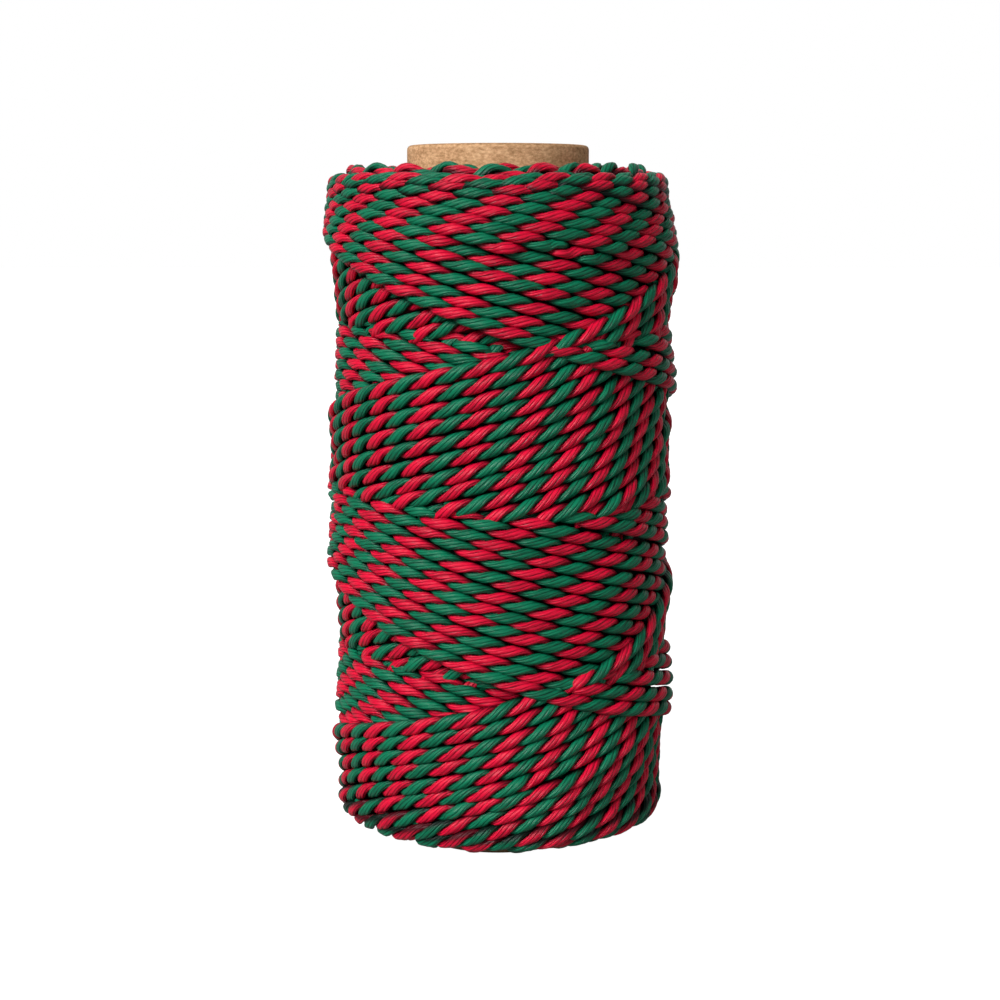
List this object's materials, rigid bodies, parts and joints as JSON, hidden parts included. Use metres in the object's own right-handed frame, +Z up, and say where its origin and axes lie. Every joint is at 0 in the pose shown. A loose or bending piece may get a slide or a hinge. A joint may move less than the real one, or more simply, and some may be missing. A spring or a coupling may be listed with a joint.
{
  "type": "roll of twisted cord",
  "caption": "Roll of red and green twisted cord, cross wound on an open paperboard tube that stands on its end.",
  "frame": {"origin": "centre of the tube's lower rim, on the surface that the roll stands on", "axes": "+Z up along the tube, -Y towards the front of the roll"},
  "size_m": [0.0591, 0.058, 0.116],
  "materials": {
    "kraft_paperboard": "bare brown paperboard, matt",
    "red_yarn": "ply of lightly glossy synthetic yarn, deep red",
    "green_yarn": "ply of lightly glossy synthetic yarn, bottle green"
  },
  "bodies": {
    "root": {"core_tube": "kraft_paperboard", "cord_winding": "red_yarn"}
  },
  "joints": []
}
